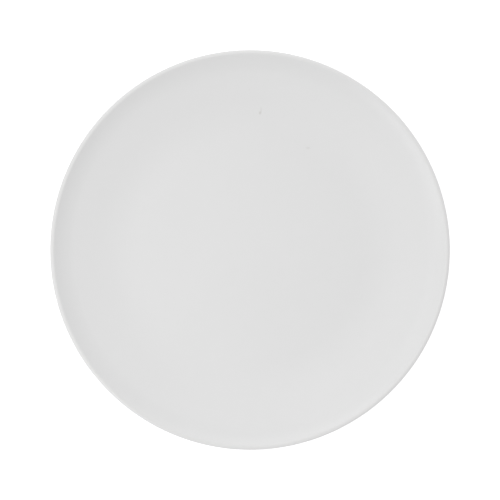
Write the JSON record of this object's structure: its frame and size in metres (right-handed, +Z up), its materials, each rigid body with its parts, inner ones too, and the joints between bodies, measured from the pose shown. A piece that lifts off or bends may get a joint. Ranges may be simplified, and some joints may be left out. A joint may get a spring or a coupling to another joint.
{
  "type": "coupe dinner plate",
  "caption": "Round white coupe dinner plate: a flat centre whose rimless side curves up to a rounded lip, glazed all over but for the foot ring it stands on. For serving food.",
  "frame": {"origin": "centre of the foot ring's resting face, on the table plane", "axes": "+Z up along the plate's axis of revolution, through the centre of the face; +X to the right and +Y to the top of the picture"},
  "size_m": [0.28, 0.28, 0.0228],
  "materials": {
    "clay": "bare fired clay, fine-grained and matte",
    "glaze": "white glaze, smooth, with a soft gloss"
  },
  "bodies": {
    "root": {"clay_body": "clay", "glaze_coat": "glaze", "foot_well_glaze": "glaze"}
  },
  "joints": []
}
